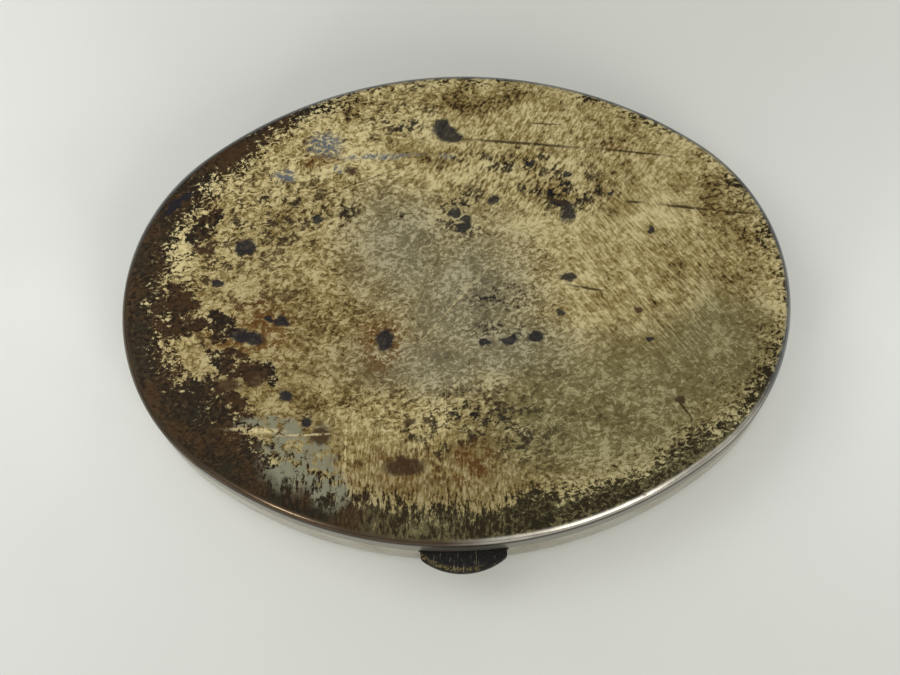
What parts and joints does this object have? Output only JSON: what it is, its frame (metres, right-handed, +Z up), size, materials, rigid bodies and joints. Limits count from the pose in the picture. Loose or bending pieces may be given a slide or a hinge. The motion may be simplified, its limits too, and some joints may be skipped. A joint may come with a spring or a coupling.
{
  "type": "pill box",
  "caption": "Oval hinged pill box with an almost flat lid, a locating collar inside the base, a knuckle hinge behind and a sprung half-moon thumb catch.",
  "frame": {"origin": "centre of the oval on the underside that the box stands on", "axes": "+X along the length of the oval, +Y towards the hinge, so -Y is the thumb catch side, +Z up through the lid"},
  "size_m": [0.064, 0.0497, 0.009],
  "materials": {
    "lid_plate": "tarnished and brushed silver plate, mottled khaki and brown",
    "base_plate": "worn satin silver plate",
    "gilt": "dull gilt wash",
    "hinge_metal": "worn plate with dark joints",
    "pin_wire": "drawn wire",
    "spring_strip": "rolled spring strip",
    "tab_black": "blackened plate, worn to olive brass along its edge",
    "catch_metal": "stamped strip"
  },
  "bodies": {
    "base": {"base_shell": "base_plate", "base_collar": "gilt", "base_bearer": "hinge_metal", "base_knuckle_left": "hinge_metal", "base_knuckle_middle": "hinge_metal", "base_knuckle_right": "hinge_metal", "hinge_pin": "pin_wire", "catch_spring": "spring_strip"},
    "lid": {"lid_shell": "lid_plate", "lid_bearer": "hinge_metal", "lid_knuckle_left": "hinge_metal", "lid_knuckle_right": "hinge_metal", "lid_lug": "catch_metal"},
    "catch": {"thumb_tab": "tab_black", "latch_hook": "catch_metal", "catch_rivets": "catch_metal"}
  },
  "joints": [
    {"name": "lid_hinge", "type": "hinge", "parent": "base", "child": "lid", "pos_m": [0, 0.0231, 0.0055], "axis": [-1, 0, 0], "range_deg": [0, 110]},
    {"name": "catch_press", "type": "slide", "parent": "base", "child": "catch", "axis": [0, 1, 0], "range_m": [0, 0.0009], "stiffness_N_per_m": 400, "springref_m": -0.0005, "deforming": ["catch_spring"]}
  ]
}
